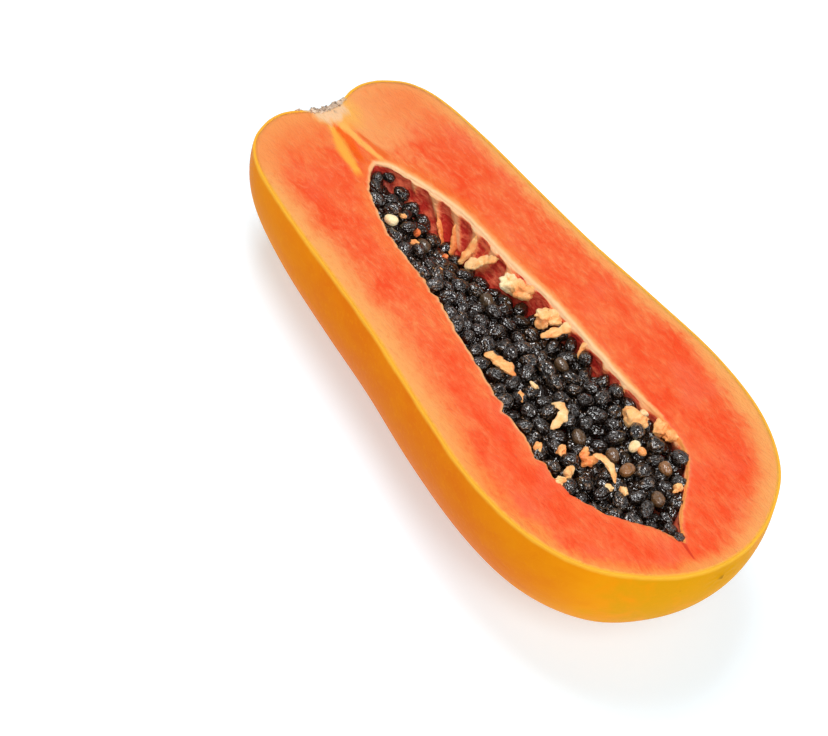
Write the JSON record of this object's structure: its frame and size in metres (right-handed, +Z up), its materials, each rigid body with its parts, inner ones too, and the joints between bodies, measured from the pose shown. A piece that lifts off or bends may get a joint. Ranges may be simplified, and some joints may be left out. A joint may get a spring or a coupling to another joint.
{
  "type": "halved papaya",
  "caption": "Half of a ripe papaya cut lengthwise, lying on its skin, with orange-red flesh and a long pointed cavity full of dark seeds.",
  "frame": {"origin": "the middle of the fruit's box seen from above, on the surface that the skin rests on", "axes": "+X along the fruit from the stem end to the blossom end, +Z up; the cut face looks up and is tilted 4.5 degrees, stem end lower"},
  "size_m": [0.209, 0.0996, 0.0625],
  "materials": {
    "flesh": "moist ripe papaya flesh, orange-red at the cavity and paler towards the skin",
    "skin": "smooth ripe papaya skin, golden orange, waxy",
    "seed": "wrinkled wet dark seeds",
    "pulp": "pale orange pulp strands and unripe seeds",
    "cork": "dry corky scar of the fruit stalk"
  },
  "bodies": {
    "root": {"papaya_half": "flesh", "seeds": "seed", "stem_scar": "cork"}
  },
  "joints": []
}
